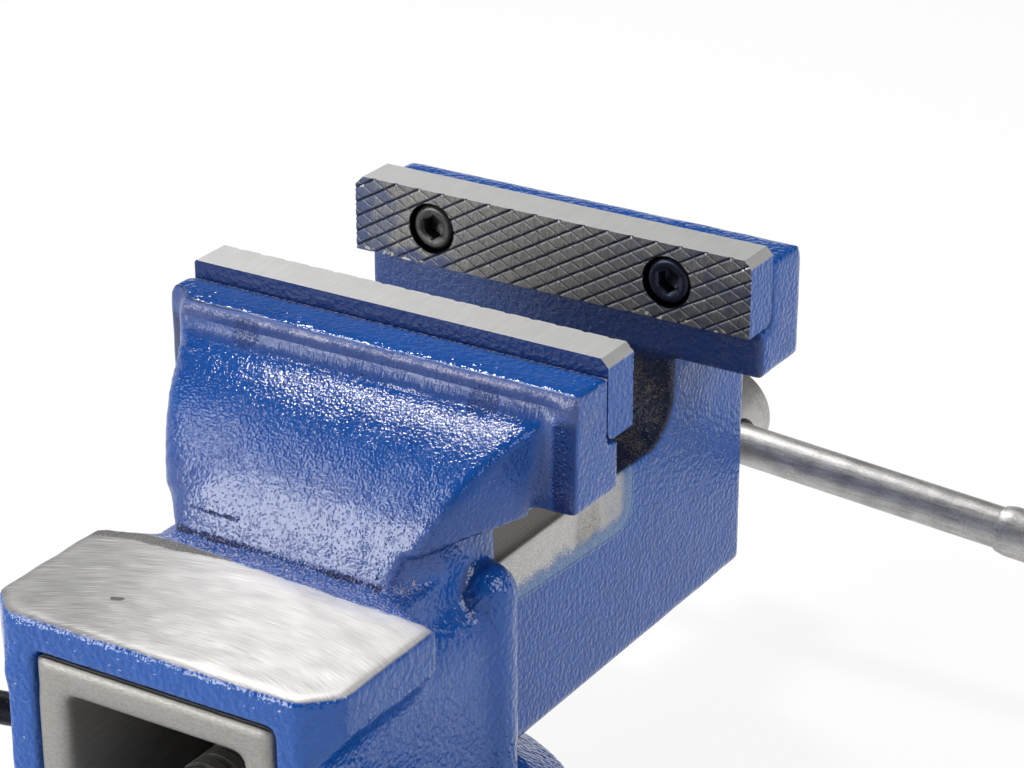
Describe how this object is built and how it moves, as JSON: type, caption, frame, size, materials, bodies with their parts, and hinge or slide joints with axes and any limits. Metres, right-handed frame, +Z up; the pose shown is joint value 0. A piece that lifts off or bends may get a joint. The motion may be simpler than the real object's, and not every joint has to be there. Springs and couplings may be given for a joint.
{
  "type": "swivel bench vise",
  "caption": "Blue cast swivel bench vise with knurled steel jaw plates, a flat anvil, a square slide, a bar handle and a round lockable base",
  "frame": {"origin": "centre of the round base, on the plane of its underside and on the swivel axis", "axes": "+X along the jaws, +Y along the screw towards the handle, +Z up along the swivel axis"},
  "size_m": [0.238, 0.316, 0.1573],
  "materials": {
    "blue_enamel": "glossy blue enamel over rough casting, bare where machined",
    "jaw_steel": "dark knurled face, bright ground top",
    "bare_steel": "bare turned or forged steel",
    "black_steel": "black oxide",
    "nut_bronze": "machined bronze",
    "black_plastic": "moulded"
  },
  "bodies": {
    "base": {"swivel_base": "blue_enamel"},
    "vise": {"vise_body": "blue_enamel", "fixed_jaw_plate": "jaw_steel", "fixed_plate_screws": "black_steel", "main_nut": "nut_bronze", "nut_bolts": "black_steel", "nut_washers": "bare_steel", "lock_bolts": "black_steel", "lock_washers": "bare_steel"},
    "jaw": {"moving_jaw": "blue_enamel", "moving_jaw_plate": "jaw_steel", "moving_plate_screws": "black_steel", "thrust_washer": "bare_steel", "spring_washer": "bare_steel"},
    "screw": {"lead_screw": "bare_steel", "screw_spring": "bare_steel", "retaining_collar": "bare_steel", "collar_pin": "bare_steel"},
    "handle": {"handle_rod": "bare_steel", "handle_cap_right": "bare_steel", "handle_cap_left": "bare_steel"},
    "lever_right": {"lock_lever_right": "black_steel", "lever_grip_right": "black_plastic"},
    "lever_left": {"lock_lever_left": "black_steel", "lever_grip_left": "black_plastic"}
  },
  "joints": [
    {"name": "swivel", "type": "hinge", "parent": "base", "child": "vise", "pos_m": [0, 0, 0.018], "axis": [0, 0, 1], "continuous": true},
    {"name": "jaw_slide", "type": "slide", "parent": "vise", "child": "jaw", "axis": [0, 1, 0], "range_m": [-0.0618, 0.063]},
    {"name": "screw_turn", "type": "hinge", "parent": "jaw", "child": "screw", "pos_m": [0, 0.16, 0.0573], "axis": [0, 1, 0], "range_deg": [-4449, 4536]},
    {"name": "handle_slide", "type": "slide", "parent": "screw", "child": "handle", "axis": [0.9973, 0, -0.0732], "range_m": [-0.085, 0.055]},
    {"name": "right_lever_turn", "type": "hinge", "parent": "vise", "child": "lever_right", "pos_m": [0.058, 0, 0.0395], "axis": [0, 0, 1], "range_deg": [-50, 120]},
    {"name": "left_lever_turn", "type": "hinge", "parent": "vise", "child": "lever_left", "pos_m": [-0.058, 0, 0.0395], "axis": [0, 0, 1], "range_deg": [-120, 50]}
  ],
  "couplings": [
    {"joint": "jaw_slide", "follows": "screw_turn", "m_per_rad": 0.00079577}
  ]
}
